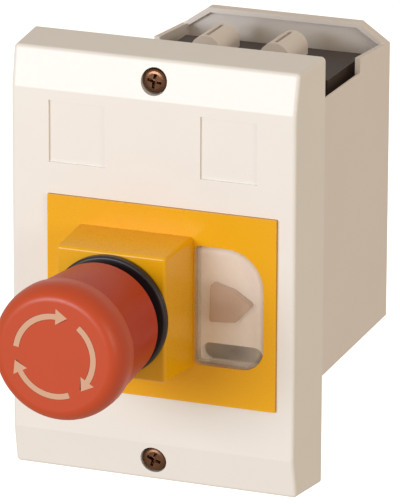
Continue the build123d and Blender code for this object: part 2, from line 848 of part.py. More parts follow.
pieces = {
    "front_cover": front_cover(),
    "yellow_plate": yellow_plate(),
    "plate_gasket": plate_gasket(),
    "peg_washers": grouped(peg_washers()),
    "window_membrane": window_membrane(),
    "key_carrier": key_carrier(),
    "start_key": start_key(),
    "collar_ring": collar_ring(),
    "collar_seal": collar_seal(),
    "actuator_bush": actuator_bush(),
    "bush_nut": bush_nut(),
    "plunger_shaft": plunger_shaft(),
    "retaining_clip": retaining_clip(),
    "return_spring": return_spring(),
    "mushroom_cap": mushroom_cap(),
    "cap_sleeve": cap_sleeve(),
    "cap_arrows": grouped(cap_arrows()),
    "cover_screws": grouped(cover_screws()),
    "screw_seals": grouped(screw_seals()),
    "rear_box": rear_box(),
    "din_rail": din_rail(),
    "rail_screws": grouped(rail_screws()),
    "breaker_base": breaker_base(),
    "terminal_shroud": terminal_shroud(),
    "terminal_clamps": grouped(terminal_clamps()),
    "terminal_screws": grouped(terminal_screws()),
    "breaker_cover": breaker_cover(),
    "housing_screws": grouped(housing_screws()),
    "stop_button": stop_button(),
    "start_button": start_button(),
    "stop_spring": button_spring(head_x, stop_button_radius),
    "start_spring": button_spring(start_button_x, start_button_radius),
    "setting_dial": setting_dial(),
}

for name, shape in pieces.items():
    export_step(shape, "parts/" + name + ".step")
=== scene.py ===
import math

import bmesh
import bpy
from bpy.props import FloatProperty, FloatVectorProperty, IntProperty, PointerProperty
from mathutils import Matrix, Vector


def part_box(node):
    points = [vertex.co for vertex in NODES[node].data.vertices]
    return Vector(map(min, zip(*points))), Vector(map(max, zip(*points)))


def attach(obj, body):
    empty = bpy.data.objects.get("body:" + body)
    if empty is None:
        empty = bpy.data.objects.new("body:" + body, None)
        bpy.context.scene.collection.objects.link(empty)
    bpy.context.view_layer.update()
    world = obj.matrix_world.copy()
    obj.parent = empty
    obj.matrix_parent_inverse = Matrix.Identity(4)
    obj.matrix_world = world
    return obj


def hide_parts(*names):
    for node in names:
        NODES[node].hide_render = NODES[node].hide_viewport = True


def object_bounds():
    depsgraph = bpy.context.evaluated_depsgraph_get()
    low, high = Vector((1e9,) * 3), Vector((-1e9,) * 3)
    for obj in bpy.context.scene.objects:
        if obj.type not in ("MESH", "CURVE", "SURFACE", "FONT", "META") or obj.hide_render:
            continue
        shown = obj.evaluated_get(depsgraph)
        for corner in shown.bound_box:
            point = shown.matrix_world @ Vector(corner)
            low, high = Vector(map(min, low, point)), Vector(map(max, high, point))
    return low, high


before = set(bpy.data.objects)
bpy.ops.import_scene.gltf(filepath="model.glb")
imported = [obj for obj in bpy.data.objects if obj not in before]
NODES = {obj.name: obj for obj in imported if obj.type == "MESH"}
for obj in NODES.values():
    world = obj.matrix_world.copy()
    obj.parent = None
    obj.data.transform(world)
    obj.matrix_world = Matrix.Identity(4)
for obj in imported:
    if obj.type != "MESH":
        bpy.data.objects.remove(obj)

bl_info = {
    "name": "Breaker enclosure with stop head",
    "version": (1, 0, 0),
    "blender": (4, 5, 0),
    "location": "3D View > Sidebar > Enclosure",
    "description": "Finishes the enclosure with its materials, fine pieces and studio",
    "category": "Object",
}

MM = 0.001
CAD_BOX = [list(corner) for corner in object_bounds()]

# The window: its flange, and its corner radii from the upper right one anticlockwise.
WINDOW_FLANGE = 1.6 * MM
WINDOW_CORNERS = (11.0 * MM, 1.6 * MM, 1.6 * MM, 6.2 * MM)
# The cover screws' thread, as rings half a pitch apart after a plain neck.
SCREW_SHANK = 1.95 * MM
SCREW_HALF_PITCH = 0.35 * MM
SCREW_THREAD_DEPTH = 0.25 * MM
SCREW_NECK = 1.0 * MM
SCREW_RIM_STEPS = 32
# One release arrow, in degrees round the head: its stroke, its head and where its tail stands.
ARROW_SPAN = 84
ARROW_HEAD_SPAN = 17
ARROW_TAIL = 172
ARROW_PROUD = 0.01 * MM
# A three-sided prism of radius 1 is this long from base to point, and this wide at its base.
PRISM_LENGTH = 1.5
PRISM_WIDTH = 1.732
# The studio: how far the floor lies under the object, and what the camera looks at.
FLOOR_DROP = 0.12
CAMERA_TARGET = Vector((13.9, -18.5, 7.85)) * MM
FILL_SHARE = 0.26


def linear(code):
    """An sRGB hex colour as the three linear values that Blender's sockets take."""
    values = [int(code[i : i + 2], 16) / 255 for i in (0, 2, 4)]
    return tuple(v / 12.92 if v <= 0.04045 else ((v + 0.055) / 1.055) ** 2.4 for v in values)


def colour_property(name, description, code):
    return FloatVectorProperty(
        name=name, description=description, default=linear(code), subtype="COLOR", size=3, min=0.0, max=1.0
    )


def length_property(name, description, size_mm):
    return FloatProperty(
        name=name, description=description, default=size_mm * MM, unit="LENGTH", min=0.0, precision=5
    )


def angle_property(name, description, degrees):
    return FloatProperty(name=name, description=description, default=math.radians(degrees), subtype="ANGLE")


class HousingFinish(bpy.types.PropertyGroup):
    cover: colour_property("Cover", "Frame and front of the enclosure", "EBE8E2")
    box: colour_property("Rear box", "The box behind the frame", "E8E1DA")
    plate: colour_property("Plate", "The signal plate under the stop head", "EBAC00")
    # The breaker's dark colour is painted shade for the gap inside the box.
    breaker: colour_property("Breaker", "The breaker's dark housing", "3A2A20")
    shroud: colour_property("Terminal shroud", "The light frame on the breaker's terminals", "E6DDD4")
    carrier: colour_property("Key carrier", "The light wall behind the window", "FBF5EE")
    key: colour_property("Start key", "The key behind the window", "B28A6C")
    grain: length_property("Grain", "Width of the fine grain that the mould leaves", 0.4)
    # The edge wear setting sets the painted edge highlight: how much paler the edges are drawn.
    edge_highlight: FloatProperty(
        name="Edge wear", description="How much paler the edges are", default=0.35, min=0.0, max=1.0
    )


class HeadFinish(bpy.types.PropertyGroup):
    red: colour_property("Cap", "The stop head's cap", "C0461E")
    # The sleeve's red is darker than the cap's: painted shade on the body behind the cap.
    sleeve: colour_property("Sleeve", "The tapering body behind the cap", "B4331A")
    arrow: colour_property("Arrows", "The release arrows", "D0A284")
    collar: colour_property("Collar", "Collar ring, bush and nut", "1E1A22")
    arrow_radius: length_property("Arrow circle", "Radius of the middle of the strokes", 11.0)
    stroke: length_property("Stroke", "Width of an arrow's stroke", 1.6)
    head_width: length_property("Arrow head", "Width of an arrow's head", 4.4)
    count: IntProperty(
        name="Arrows", description="How many arrows stand on the circle", default=3, min=1, max=6
    )


class WindowShape(bpy.types.PropertyGroup):
    tint: colour_property("Membrane", "The clear window's faint milkiness", "F8EAD8")
    skin: length_property("Skin", "Thickness of the clear sheet", 0.8)
    crown: length_property("Crown", "How far the middle stands over the rim", 0.25)
    haze: FloatProperty(name="Haze", description="How milky the sheet is", default=0.2, min=0.0, max=1.0)


class ScrewShape(bpy.types.PropertyGroup):
    steel: colour_property("Passivated steel", "The cover screws", "8E6A52")
    head_radius: length_property("Head radius", "Radius of the pan head", 3.5)
    head_height: length_property("Head height", "Height of the pan head", 2.0)
    recess_width: length_property("Recess", "Width across the cross recess", 4.2)
    recess_depth: length_property("Recess depth", "Depth of the cross recess", 1.3)


class StudioSetup(bpy.types.PropertyGroup):
    azimuth: angle_property("Azimuth", "Camera's turn to the object's right", 21.5)
    elevation: angle_property("Elevation", "Camera's height over the object's middle", 17.4)
    roll: angle_property("Roll", "Camera's roll about its view", 0.23)
    distance: FloatProperty(name="Distance", description="Camera to object", default=1.5, unit="LENGTH")
    lens: FloatProperty(name="Lens", description="Focal length in millimetres", default=398.0)
    key_power: FloatProperty(
        name="Key light", description="Power of the soft box", default=14.5, unit="POWER"
    )
    ambient: FloatProperty(name="Ambient", description="Strength of the light from all round", default=0.54)


def per_metre(size):
    """The noise scale whose features have this size in metres."""
    return 1.0 / size


def add(tree, kind, settings=None, inputs=None):
    """Adds a node, sets its properties, and sets its inputs or links them to an output."""
    node = tree.nodes.new(kind)
    for key, value in (settings or {}).items():
        setattr(node, key, value)
    for key, value in (inputs or {}).items():
        socket = node.inputs[key]
        if isinstance(value, bpy.types.NodeSocket):
            tree.links.new(value, socket)
        else:
            socket.default_value = value
    return node


def blank(name):
    """A new material with an empty tree, ready for its own nodes."""
    material = bpy.data.materials.new(name)
    material.use_nodes = True
    material.node_tree.nodes.clear()
    return material, material.node_tree


def shade(colour, factor):
    """A colour made lighter or darker, with the alpha that a colour socket wants."""
    return tuple(min(1.0, c * factor) for c in colour) + (1.0,)


def edge_highlight_mask(tree, radius, place):
    """1 on rounded-over edges, 0 on flats, broken up by a 3 mm noise: where the painted edge highlight goes.
    """
    soft = add(tree, "ShaderNodeBevel", {"samples": 4}, {"Radius": radius}).outputs["Normal"]
    true = add(tree, "ShaderNodeNewGeometry").outputs["Normal"]
    agree = add(
        tree, "ShaderNodeVectorMath", {"operation": "DOT_PRODUCT"}, {0: soft, 1: true}
    ).outputs["Value"]
    highlight_edge = add(
        tree,
        "ShaderNodeMapRange",
        None,
        {"Value": agree, "From Min": 0.985, "From Max": 0.85, "To Min": 0.0, "To Max": 1.0},
    ).outputs["Result"]
    patchy = add(
        tree, "ShaderNodeTexNoise", None, {"Vector": place, "Scale": per_metre(3 * MM), "Detail": 3.0}
    ).outputs["Fac"]
    return add(tree, "ShaderNodeMath", {"operation": "MULTIPLY"}, {0: highlight_edge, 1: patchy}).outputs["Value"]


def moulded(name, colour, roughness, ior, grain, depth, edge_highlight, mottle=0.025, gloss=0.5):
    """Injection-moulded plastic: flow mottle 18 mm wide, the tool's grain as bump, and smoother edges painted
    paler as a highlight.
    """
    material, tree = blank(name)
    place = add(tree, "ShaderNodeTexCoord").outputs["Object"]
    flow = add(
        tree,
        "ShaderNodeTexNoise",
        None,
        {"Vector": place, "Scale": per_metre(18 * MM), "Detail": 4.0, "Roughness": 0.55},
    ).outputs["Fac"]
    fine = add(
        tree, "ShaderNodeTexNoise", None, {"Vector": place, "Scale": per_metre(grain), "Detail": 2.0}
    ).outputs["Fac"]
    body = add(
        tree,
        "ShaderNodeMix",
        {"data_type": "RGBA"},
        {0: flow, 6: shade(colour, 1 - mottle), 7: shade(colour, 1 + mottle)},
    ).outputs[2]
    highlight_edge = edge_highlight_mask(tree, 0.7 * MM, place)
    # Painted highlight: the edges are drawn a quarter paler, scaled by the edge setting.
    painted_edge_highlight = add(tree, "ShaderNodeMath", {"operation": "MULTIPLY"}, {0: highlight_edge, 1: edge_highlight}).outputs["Value"]
    base = add(
        tree, "ShaderNodeMix", {"data_type": "RGBA"}, {0: painted_edge_highlight, 6: body, 7: shade(colour, 1.25)}
    ).outputs[2]
    dull = add(
        tree,
        "ShaderNodeMapRange",
        None,
        {
            "Value": fine,
            "From Min": 0.3,
            "From Max": 0.7,
            "To Min": roughness - 0.04,
            "To Max": roughness + 0.04,
        },
    ).outputs["Result"]
    smooth = add(tree, "ShaderNodeMath", {"operation": "MULTIPLY"}, {0: painted_edge_highlight, 1: 0.15}).outputs["Value"]
    rough = add(tree, "ShaderNodeMath", {"operation": "SUBTRACT"}, {0: dull, 1: smooth}).outputs["Value"]
    bump = add(
        tree, "ShaderNodeBump", None, {"Height": fine, "Strength": 1.0, "Distance": depth}
    ).outputs["Normal"]
    shader = add(
        tree,
        "ShaderNodeBsdfPrincipled",
        None,
        {"Base Color": base, "Roughness": rough, "IOR": ior, "Specular IOR Level": gloss, "Normal": bump},
    ).outputs["BSDF"]
    add(tree, "ShaderNodeOutputMaterial", None, {"Surface": shader})
    return material


def plated(name, colour, roughness, streak, second=None):
    """Plated or drawn metal: fine drawn streaks, a cloudy passivation and edges painted brighter as a
    highlight.
    """
    material, tree = blank(name)
    place = add(tree, "ShaderNodeTexCoord").outputs["Object"]
    cloud = add(
        tree, "ShaderNodeTexNoise", None, {"Vector": place, "Scale": per_metre(1.6 * MM), "Detail": 3.0}
    ).outputs["Fac"]
    drawn = add(
        tree, "ShaderNodeMapping", None, {"Vector": place, "Scale": (1.0, 0.1, 1.0)}
    ).outputs["Vector"]
    lines = add(
        tree, "ShaderNodeTexNoise", None, {"Vector": drawn, "Scale": per_metre(streak), "Detail": 2.0}
    ).outputs["Fac"]
    body = add(
        tree,
        "ShaderNodeMix",
        {"data_type": "RGBA"},
        {0: cloud, 6: shade(colour, 0.85), 7: shade(second or colour, 1.15)},
    ).outputs[2]
    highlight_edge = edge_highlight_mask(tree, 0.3 * MM, place)
    # Painted highlight: the edges are drawn half again brighter.
    base = add(
        tree, "ShaderNodeMix", {"data_type": "RGBA"}, {0: highlight_edge, 6: body, 7: shade(colour, 1.5)}
    ).outputs[2]
    rough = add(
        tree,
        "ShaderNodeMapRange",
        None,
        {
            "Value": lines,
            "From Min": 0.3,
            "From Max": 0.7,
            "To Min": roughness - 0.06,
            "To Max": roughness + 0.1,
        },
    ).outputs["Result"]
    bump = add(tree, "ShaderNodeBump", None, {"Height": lines, "Strength": 0.6, "Distance": 0.003 * MM})
    shader = add(
        tree,
        "ShaderNodeBsdfPrincipled",
        None,
        {"Base Color": base, "Roughness": rough, "Metallic": 1.0, "Normal": bump.outputs["Normal"]},
    ).outputs["BSDF"]
    add(tree, "ShaderNodeOutputMaterial", None, {"Surface": shader})
    return material


def clear_sheet(name, tint, haze):
    """Cast clear elastomer: see-through with a faint milk haze that varies, and a soft gloss."""
    material, tree = blank(name)
    place = add(tree, "ShaderNodeTexCoord").outputs["Object"]
    cloud = add(
        tree, "ShaderNodeTexNoise", None, {"Vector": place, "Scale": per_metre(9 * MM), "Detail": 3.0}
    ).outputs["Fac"]
    ripple = add(
        tree, "ShaderNodeTexNoise", None, {"Vector": place, "Scale": per_metre(5 * MM), "Detail": 1.0}
    ).outputs["Fac"]
    milk = add(
        tree,
        "ShaderNodeMapRange",
        None,
        {"Value": cloud, "From Min": 0.3, "From Max": 0.7, "To Min": haze - 0.06, "To Max": haze + 0.06},
    ).outputs["Result"]
    colour = add(
        tree, "ShaderNodeMix", {"data_type": "RGBA"}, {0: cloud, 6: shade(tint, 0.95), 7: shade(tint, 1.03)}
    ).outputs[2]
    rough = add(
        tree,
        "ShaderNodeMapRange",
        None,
        {"Value": ripple, "From Min": 0.3, "From Max": 0.7, "To Min": 0.12, "To Max": 0.22},
    ).outputs["Result"]
    bump = add(tree, "ShaderNodeBump", None, {"Height": ripple, "Strength": 0.5, "Distance": 0.05 * MM})
    shader = add(
        tree,
        "ShaderNodeBsdfPrincipled",
        None,
        {
            "Base Color": colour,
            "Roughness": rough,
            "IOR": 1.45,
            "Alpha": milk,
            "Normal": bump.outputs["Normal"],
        },
    ).outputs["BSDF"]
    add(tree, "ShaderNodeOutputMaterial", None, {"Surface": shader})
    return material


def rubber(name, colour):
    """Moulded rubber: near black, matt, with a dusty bloom and a coarse grain 0.8 mm wide."""
    material, tree = blank(name)
    place = add(tree, "ShaderNodeTexCoord").outputs["Object"]
    bloom = add(
        tree, "ShaderNodeTexNoise", None, {"Vector": place, "Scale": per_metre(6 * MM), "Detail": 4.0}
    ).outputs["Fac"]
    grain = add(
        tree, "ShaderNodeTexNoise", None, {"Vector": place, "Scale": per_metre(0.8 * MM)}
    ).outputs["Fac"]
    base = add(
        tree, "ShaderNodeMix", {"data_type": "RGBA"}, {0: bloom, 6: shade(colour, 0.8), 7: shade(colour, 1.7)}
    ).outputs[2]
    rough = add(
        tree,
        "ShaderNodeMapRange",
        None,
        {"Value": bloom, "From Min": 0.3, "From Max": 0.7, "To Min": 0.7, "To Max": 0.85},
    ).outputs["Result"]
    bump = add(tree, "ShaderNodeBump", None, {"Height": grain, "Strength": 0.8, "Distance": 0.01 * MM})
    shader = add(
        tree,
        "ShaderNodeBsdfPrincipled",
        None,
        {"Base Color": base, "Roughness": rough, "IOR": 1.52, "Normal": bump.outputs["Normal"]},
    ).outputs["BSDF"]
    add(tree, "ShaderNodeOutputMaterial", None, {"Surface": shader})
    return material


def dress(material, *names):
    """Gives CAD nodes their material in every slot they have."""
    for name in names:
        mesh = NODES[name].data
        if not mesh.materials:
            mesh.materials.append(material)
        for index in range(len(mesh.materials)):
            mesh.materials[index] = material


def piece_from(name, mesh, body, slot, *nodes):
    """Puts a finished mesh into the scene at the origin, riding on its body in place of CAD nodes."""
    item = bpy.data.objects.new(name, mesh)
    bpy.context.scene.collection.objects.link(item)
    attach(item, body)
    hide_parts(*nodes)
    return item


def grown(name, tree, values, material):
    """The plain mesh that a Geometry Nodes tree makes from these named input values."""
    start = bpy.data.objects.new(name + "_start", bpy.data.meshes.new(name + "_start"))
    bpy.context.scene.collection.objects.link(start)
    modifier = start.modifiers.new(name, "NODES")
    modifier.node_group = tree
    for item in tree.interface.items_tree:
        if item.item_type == "SOCKET" and item.in_out == "INPUT" and item.name in values:
            modifier[item.identifier] = values[item.name]
    depsgraph = bpy.context.evaluated_depsgraph_get()
    mesh = bpy.data.meshes.new_from_object(start.evaluated_get(depsgraph))
    mesh.name = name
    bpy.data.objects.remove(start)
    mesh.materials.clear()
    mesh.materials.append(material)
    for face in mesh.polygons:
        face.material_index = 0
    return mesh


def new_tree(name, inputs):
    """A Geometry Nodes tree with its named inputs and the group's two end nodes."""
    tree = bpy.data.node_groups.new(name, "GeometryNodeTree")
    tree.interface.new_socket(name="Geometry", in_out="OUTPUT", socket_type="NodeSocketGeometry")
    for title, kind in inputs:
        tree.interface.new_socket(name=title, in_out="INPUT", socket_type=kind)
    return tree, tree.nodes.new("NodeGroupInput"), tree.nodes.new("NodeGroupOutput")


class OBJECT_OT_finish_housing(bpy.types.Operator):
    """Give the enclosure, plate and breaker mouldings their materials"""

    bl_idname = "enclosure.finish_housing"
    bl_label = "Finish housing"

    def execute(self, context):
        look = context.scene.housing_finish
        # ASA moulded in a spark-eroded tool: satin, even, with a very fine grain.
        dress(moulded("asa_satin", look.cover, 0.38, 1.52, look.grain, 0.004 * MM, look.edge_highlight), "front_cover")
        # ABS from a plainer tool: a little duller, with a coarser grain.
        dress(moulded("abs_matt", look.box, 0.5, 1.54, 1.6 * look.grain, 0.006 * MM, look.edge_highlight), "rear_box")
        # Polycarbonate, coloured through: clean semi-gloss and strong colour.
        dress(
            moulded(
                "polycarbonate_signal",
                look.plate,
                0.3,
                1.585,
                look.grain,
                0.002 * MM,
                0.5 * look.edge_highlight,
                0.03,
                0.35,
            ),
            "yellow_plate",
        )
        # Thermoset moulding compound: matt and slightly mottled by its filler; its dark colour is painted
        # shade, so the gap inside the box looks shadowed.
        dress(
            moulded("thermoset_painted_shade", look.breaker, 0.55, 1.55, look.grain, 0.008 * MM, look.edge_highlight, 0.12),
            "breaker_base",
            "breaker_cover",
        )
        # Polyamide: light and waxy.
        dress(
            moulded("polyamide_light", look.shroud, 0.45, 1.53, look.grain, 0.004 * MM, look.edge_highlight),
            "terminal_shroud",
        )
        dress(
            moulded("abs_carrier", look.carrier, 0.5, 1.54, look.grain, 0.004 * MM, look.edge_highlight), "key_carrier"
        )
        dress(
            moulded("acetal_key", look.key, 0.45, 1.48, look.grain, 0.003 * MM, 0.5 * look.edge_highlight, 0.06),
            "start_key",
            "start_button",
        )
        # Glass-filled polyamide: dark grey and matt.
        dress(
            moulded("polyamide_dial", linear("4A4A50"), 0.5, 1.55, look.grain, 0.006 * MM, 0.5),
            "setting_dial",
        )
        # Natural acetal: off-white, slippery, hardly any grain.
        dress(
            moulded("acetal_natural", linear("D8D4CC"), 0.35, 1.48, look.grain, 0.001 * MM, 0.1),
            "plunger_shaft",
        )
        return {"FINISHED"}


class OBJECT_OT_finish_head(bpy.types.Operator):
    """Give the stop head and its collar their materials"""

    bl_idname = "enclosure.finish_head"
    bl_label = "Finish stop head"

    def execute(self, context):
        look = context.scene.head_finish
        grain = context.scene.housing_finish.grain
        # Polished-tool polyamide: smooth, with a soft wide highlight.
        dress(
            moulded("polyamide_red", look.red, 0.4, 1.53, grain, 0.002 * MM, 0.25, 0.04, 0.45), "mushroom_cap"
        )
        # Painted shade: the sleeve takes its darker red, for the body's side that faces away from the light.
        dress(
            moulded("polyamide_red_painted_shade", look.sleeve, 0.42, 1.53, grain, 0.003 * MM, 0.2, 0.05, 0.18),
            "cap_sleeve",
        )
        dress(moulded("polyamide_red_button", look.red, 0.4, 1.53, grain, 0.002 * MM, 0.2), "stop_button")
        # Glass-filled polyamide: blue-black and matt.
        dress(
            moulded("polyamide_glass_filled", look.collar, 0.42, 1.55, grain, 0.006 * MM, 0.6, 0.15),
            "collar_ring",
            "actuator_bush",
            "bush_nut",
        )
        return {"FINISHED"}


class OBJECT_OT_finish_hardware(bpy.types.Operator):
    """Give screws, springs, rail, clamps and seals their materials"""

    bl_idname = "enclosure.finish_hardware"
    bl_label = "Finish hardware"

    def execute(self, context):
        # Bright zinc plating over cold-rolled steel: pale, slightly cloudy.
        zinc = plated("steel_bright_zinc", linear("B4B4B0"), 0.3, 0.4 * MM)
        dress(zinc, "din_rail", "rail_screws", "terminal_screws", "housing_screws", "peg_washers")
        # Patented drawn wire: grey with fine streaks along it.
        dress(plated("steel_drawn_wire", linear("8F9092"), 0.32, 0.2 * MM), "return_spring", "stop_spring")
        dress(bpy.data.materials["steel_drawn_wire"], "start_spring", "retaining_clip")
        # Pressed brass: warm, rolled lines.
        dress(plated("brass_pressed", linear("B89A55"), 0.3, 0.3 * MM), "terminal_clamps")
        dress(rubber("rubber_moulded", linear("2A2A2B")), "plate_gasket", "collar_seal", "screw_seals")
        return {"FINISHED"}


def rounded_outline(box, radii, inset, steps=10):
    """Points round a window outline with its own radius at each corner, drawn in by inset."""
    left, right, bottom, top = box[0] + inset, box[1] - inset, box[2] + inset, box[3] - inset
    corners = ((right, top, 0), (left, top, 90), (left, bottom, 180), (right, bottom, 270))
    points = []
    for (x, z, start), radius in zip(corners, radii):
        radius = max(radius - inset, 0.3 * MM)
        cx = x - math.copysign(radius, x - (left + right) / 2)
        cz = z - math.copysign(radius, z - (bottom + top) / 2)
        for k in range(steps + 1):
            turn = math.radians(start + 90 * k / steps)
            points.append((cx + radius * math.cos(turn), cz + radius * math.sin(turn)))
    return points


class OBJECT_OT_make_window(bpy.types.Operator):
    """Make the clear pressed membrane with its flange, raised rim and shallow crown"""

    bl_idname = "enclosure.make_window"
    bl_label = "Make window membrane"

    def execute(self, context):
        shape = context.scene.window_shape
        low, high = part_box("window_membrane")
        flange = WINDOW_FLANGE
        box = (low[0] + flange, high[0] - flange, low[2] + flange, high[2] - flange)
        front = low[1]
        back = high[1]
        skin = shape.skin
        # Rings from the flange's outer edge over the rim to the crown, then back inside: (inset, depth).
        rings = [
            (-flange, back),
            (-flange, back - skin),
            (0.1 * MM, back - skin),
            (0.1 * MM, front + 0.75 * MM),
            (0.3 * MM, front + 0.3 * MM),
            (0.75 * MM, front + 0.08 * MM),
            (1.3 * MM, front + 0.05 * MM),
            (2.1 * MM, front + 0.3 * MM),
            (3.2 * MM, front + 0.42 * MM),
            (4.8 * MM, front + 0.42 * MM - 0.7 * shape.crown),
            (6.4 * MM, front + 0.42 * MM - shape.crown),
        ]
        inner = [(max(inset, 0) + skin, depth + skin) for inset, depth in reversed(rings[3:9])]
        inner = [
            (6.4 * MM, rings[-1][1] + skin), (4.8 * MM, rings[-2][1] + skin)
        ] + inner + [(0.9 * MM, back)]
        shell = bmesh.new()
        loops = []
        for inset, depth in rings + inner:
            points = rounded_outline(box, WINDOW_CORNERS, inset)
            loops.append([shell.verts.new((x, depth, z)) for x, z in points])
        loops.append(loops[0])
        count = len(loops[0])
        last_outer = len(rings) - 1
        for index, (first, second) in enumerate(zip(loops, loops[1:])):
            if index == last_outer:
                continue
            for k in range(count):
                nxt = (k + 1) % count
                shell.faces.new((first[k], first[nxt], second[nxt], second[k]))
        shell.faces.new(loops[last_outer])
        shell.faces.new(list(reversed(loops[last_outer + 1])))
        bmesh.ops.remove_doubles(shell, verts=shell.verts, dist=0.5e-6)
        bmesh.ops.recalc_face_normals(shell, faces=shell.faces)
        mesh = bpy.data.meshes.new("window_sheet")
        shell.to_mesh(mesh)
        shell.free()
        mesh.shade_smooth()
        # Clear thermoplastic elastomer, cast: soft gloss, slightly milky.
        mesh.materials.append(clear_sheet("elastomer_clear", shape.tint, shape.haze))
        piece_from("window_sheet", mesh, "enclosure", "clear_membrane", "window_membrane")
        return {"FINISHED"}


def screw_mesh(shape, length):
    """One cover screw along Y with its head's top at the origin: domed head, cross recess, shank."""
    steps = SCREW_RIM_STEPS
    half = shape.recess_width / 2
    arm = 0.2 * shape.recess_width
    profile = [(0.0, 0.0)] + [
        (shape.head_radius * r, shape.head_height * d)
        for r, d in (
            (0.62, 0.02), (0.78, 0.08), (0.9, 0.2), (0.97, 0.38), (1.0, 0.6), (1.0, 0.94), (0.97, 1.0)
        )
    ]
    shank = SCREW_SHANK
    profile += [(shank, shape.head_height)]
    thread = int((length - 2.0 * SCREW_NECK) / SCREW_HALF_PITCH)
    for k in range(thread):
        y = shape.head_height + SCREW_NECK + SCREW_HALF_PITCH * k
        profile.append((shank if k % 2 else shank - SCREW_THREAD_DEPTH, y))
    tip = shape.head_height + length
    profile += [(shank - 0.3 * MM, tip - 0.2 * MM), (shank - 0.6 * MM, tip), (0.0, tip)]
    work = bmesh.new()
    rings = []
    for radius, y in profile:
        if radius == 0.0:
            rings.append([work.verts.new((0, y, 0))])
            continue
        turns = [2 * math.pi * k / steps for k in range(steps)]
        rings.append([work.verts.new((radius * math.cos(t), y, radius * math.sin(t))) for t in turns])
    for first, second in zip(rings, rings[1:]):
        for k in range(steps):
            nxt = (k + 1) % steps
            if len(first) == 1:
                work.faces.new((first[0], second[k], second[nxt]))
            elif len(second) == 1:
                work.faces.new((first[k], second[0], first[nxt]))
            else:
                work.faces.new((first[k], second[k], second[nxt], first[nxt]))
    bmesh.ops.recalc_face_normals(work, faces=work.faces)
    body = bpy.data.meshes.new("screw_body")
    work.to_mesh(body)
    work.free()
    cut = bmesh.new()
    outline = []
    for quarter in range(4):
        turn = Matrix.Rotation(-math.pi / 2 * quarter, 3, "Y")
        for x, z in ((half, -arm / 2), (half, arm / 2), (arm / 2 + 0.12 * MM, arm / 2 + 0.12 * MM)):
            outline.append(turn @ Vector((x, 0, z)))
    rims = []
    for y, scale in ((-0.5 * MM, 1.12), (0.55 * shape.recess_depth, 0.85), (shape.recess_depth, 0.5)):
        rims.append([cut.verts.new((p.x * scale, y, p.z * scale)) for p in outline])
    for first, second in zip(rims, rims[1:]):
        for k in range(len(outline)):
            nxt = (k + 1) % len(outline)
            cut.faces.new((first[k], first[nxt], second[nxt], second[k]))
    cut.faces.new(rims[0])
    cut.faces.new(list(reversed(rims[-1])))
    bmesh.ops.recalc_face_normals(cut, faces=cut.faces)
    tool = bpy.data.meshes.new("screw_recess")
    cut.to_mesh(tool)
    cut.free()
    main_item = bpy.data.objects.new("screw_pattern", body)
    tool_item = bpy.data.objects.new("screw_recess", tool)
    for item in (main_item, tool_item):
        bpy.context.scene.collection.objects.link(item)
    change = main_item.modifiers.new("recess", "BOOLEAN")
    change.object = tool_item
    change.operation = "DIFFERENCE"
    change.solver = "EXACT"
    made = bpy.data.meshes.new_from_object(main_item.evaluated_get(bpy.context.evaluated_depsgraph_get()))
    bpy.data.objects.remove(main_item)
    bpy.data.objects.remove(tool_item)
    made.name = "screw_pattern"
    return made


def screw_row_tree(pattern, material):
    """Geometry Nodes: the pattern screw set at both ends of a spacing, each turned its own way."""
    tree, start, end = new_tree(
        "cover_screw_row",
        [
            ("Spacing", "NodeSocketFloat"),
            ("Seat", "NodeSocketFloat"),
            ("Count", "NodeSocketInt"),
            ("Seed", "NodeSocketInt"),
        ],
    )
    half = add(
        tree, "ShaderNodeMath", {"operation": "MULTIPLY"}, {0: start.outputs["Spacing"], 1: -0.5}
    ).outputs[0]
    gaps = add(
        tree, "ShaderNodeMath", {"operation": "SUBTRACT"}, {0: start.outputs["Count"], 1: 1.0}
    ).outputs[0]
    step = add(
        tree, "ShaderNodeMath", {"operation": "DIVIDE"}, {0: start.outputs["Spacing"], 1: gaps}
    ).outputs[0]
    first = add(tree, "ShaderNodeCombineXYZ", None, {1: start.outputs["Seat"], 2: half}).outputs[0]
    offset = add(tree, "ShaderNodeCombineXYZ", None, {2: step}).outputs[0]
    line = add(
        tree, "GeometryNodeMeshLine", None, {
            "Count": start.outputs["Count"], "Start Location": first, "Offset": offset
        }
    ).outputs[0]
    item = bpy.data.objects.new("screw_pattern", pattern)
    bpy.context.scene.collection.objects.link(item)
    shape = add(
        tree, "GeometryNodeObjectInfo", {"transform_space": "ORIGINAL"}, {"Object": item}
    ).outputs["Geometry"]
    angle = add(
        tree,
        "FunctionNodeRandomValue",
        {"data_type": "FLOAT"},
        {2: math.radians(-20), 3: math.radians(25), "Seed": start.outputs["Seed"]},
    ).outputs[1]
    turn = add(tree, "ShaderNodeCombineXYZ", None, {1: angle}).outputs[0]
    placed = add(
        tree, "GeometryNodeInstanceOnPoints", None, {"Points": line, "Instance": shape, "Rotation": turn}
    ).outputs[0]
    real = add(tree, "GeometryNodeRealizeInstances", None, {0: placed}).outputs[0]
    done = add(tree, "GeometryNodeSetMaterial", None, {"Geometry": real, "Material": material}).outputs[0]
    tree.links.new(done, end.inputs[0])
    return tree, item


class OBJECT_OT_make_cover_screws(bpy.types.Operator):
    """Make the two cross-recessed cover screws from one pattern"""

    bl_idname = "enclosure.make_cover_screws"
    bl_label = "Make cover screws"

    def execute(self, context):
        shape = context.scene.screw_shape
        low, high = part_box("cover_screws")
        length = high[1] - low[1] - shape.head_height
        # Zinc with a yellow-brown passivation, clouded with dark bronze; the bright edges are a painted
        # highlight.
        steel = plated("steel_passivated", shape.steel, 0.3, 0.25 * MM, linear("5F4230"))
        tree, pattern = screw_row_tree(screw_mesh(shape, length), steel)
        values = {"Spacing": high[2] - low[2] - 2 * shape.head_radius, "Seat": low[1], "Count": 2, "Seed": 3}
        mesh = grown("cover_screw_pair", tree, values, steel)
        bpy.data.objects.remove(pattern)
        piece_from("cover_screw_pair", mesh, "enclosure", "screw_steel", "cover_screws")
        return {"FINISHED"}


